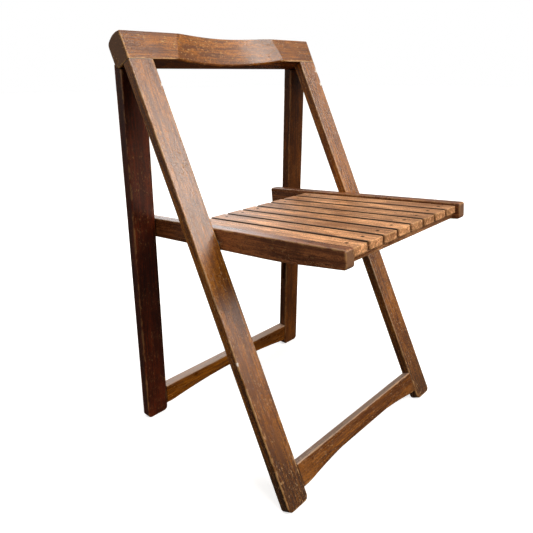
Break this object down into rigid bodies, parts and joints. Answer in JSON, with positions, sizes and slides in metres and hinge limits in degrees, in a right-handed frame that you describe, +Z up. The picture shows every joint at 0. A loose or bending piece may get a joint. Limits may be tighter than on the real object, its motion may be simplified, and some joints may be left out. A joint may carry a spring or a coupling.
{
  "type": "folding chair",
  "caption": "Folding wooden chair with an A-shaped frame under a hollowed crest rail and a slatted seat that turns on the front legs and slides in grooves in the rear legs.",
  "frame": {"origin": "on the floor, under the middle of the chair's box", "axes": "+Z up, +X to the sitter's left, the sitter looks along -Y"},
  "size_m": [0.46, 0.4895, 0.7524],
  "materials": {
    "frame_wood": "worn walnut stain under thin satin varnish",
    "seat_wood": "worn walnut stain, rubbed paler on top",
    "dowel_wood": "bare wood, stained at the ends",
    "pin_steel": "dull zinc-plated steel",
    "nail_steel": "darkened steel"
  },
  "bodies": {
    "front_frame": {"crest_rail": "frame_wood", "front_stretcher": "frame_wood", "front_leg_left": "frame_wood", "front_leg_right": "frame_wood", "hinge_pin_left": "pin_steel", "hinge_pin_right": "pin_steel", "pin_plug_left": "dowel_wood", "pin_plug_right": "dowel_wood", "seat_pivot_pin_left": "pin_steel", "seat_pivot_pin_right": "pin_steel", "seat_washer_left": "pin_steel", "seat_washer_right": "pin_steel"},
    "rear_frame": {"rear_stretcher": "frame_wood", "hinge_plate_pins": "pin_steel", "rear_leg_left": "frame_wood", "rear_leg_right": "frame_wood", "hinge_plate_left": "pin_steel", "hinge_plate_right": "pin_steel"},
    "seat": {"seat_rail_left": "seat_wood", "seat_rail_right": "seat_wood", "guide_stud_left": "pin_steel", "guide_stud_right": "pin_steel", "seat_slat_1": "seat_wood", "seat_slat_2": "seat_wood", "seat_slat_3": "seat_wood", "seat_slat_4": "seat_wood", "seat_slat_5": "seat_wood", "seat_slat_6": "seat_wood", "seat_slat_7": "seat_wood", "seat_slat_8": "seat_wood", "front_crossbar": "seat_wood", "rear_crossbar": "seat_wood", "front_crossbar_dowels": "dowel_wood", "rear_crossbar_dowels": "dowel_wood", "front_slat_nails": "nail_steel", "rear_slat_nails": "nail_steel"},
    "groove_pins": {"groove_pin_left": "pin_steel", "groove_pin_right": "pin_steel"}
  },
  "joints": [
    {"name": "seat_lift", "type": "hinge", "parent": "front_frame", "child": "seat", "pos_m": [0, 0.02724, 0.41042], "axis": [-1, 0, 0], "range_deg": [0, 110.62]},
    {"name": "rear_fold", "type": "hinge", "parent": "front_frame", "child": "rear_frame", "pos_m": [0, 0.19022, 0.70412], "axis": [-1, 0, 0], "range_deg": [0, 28.6]},
    {"name": "groove_slide", "type": "slide", "parent": "rear_frame", "child": "groove_pins", "axis": [0, 0.061, -0.9981], "range_m": [0, 0.22983]}
  ],
  "couplings": [
    {"joint": "rear_fold", "follows": "seat_lift", "ratio": 0.25854},
    {"joint": "groove_slide", "follows": "seat_lift", "m_per_rad": 0.11904}
  ]
}
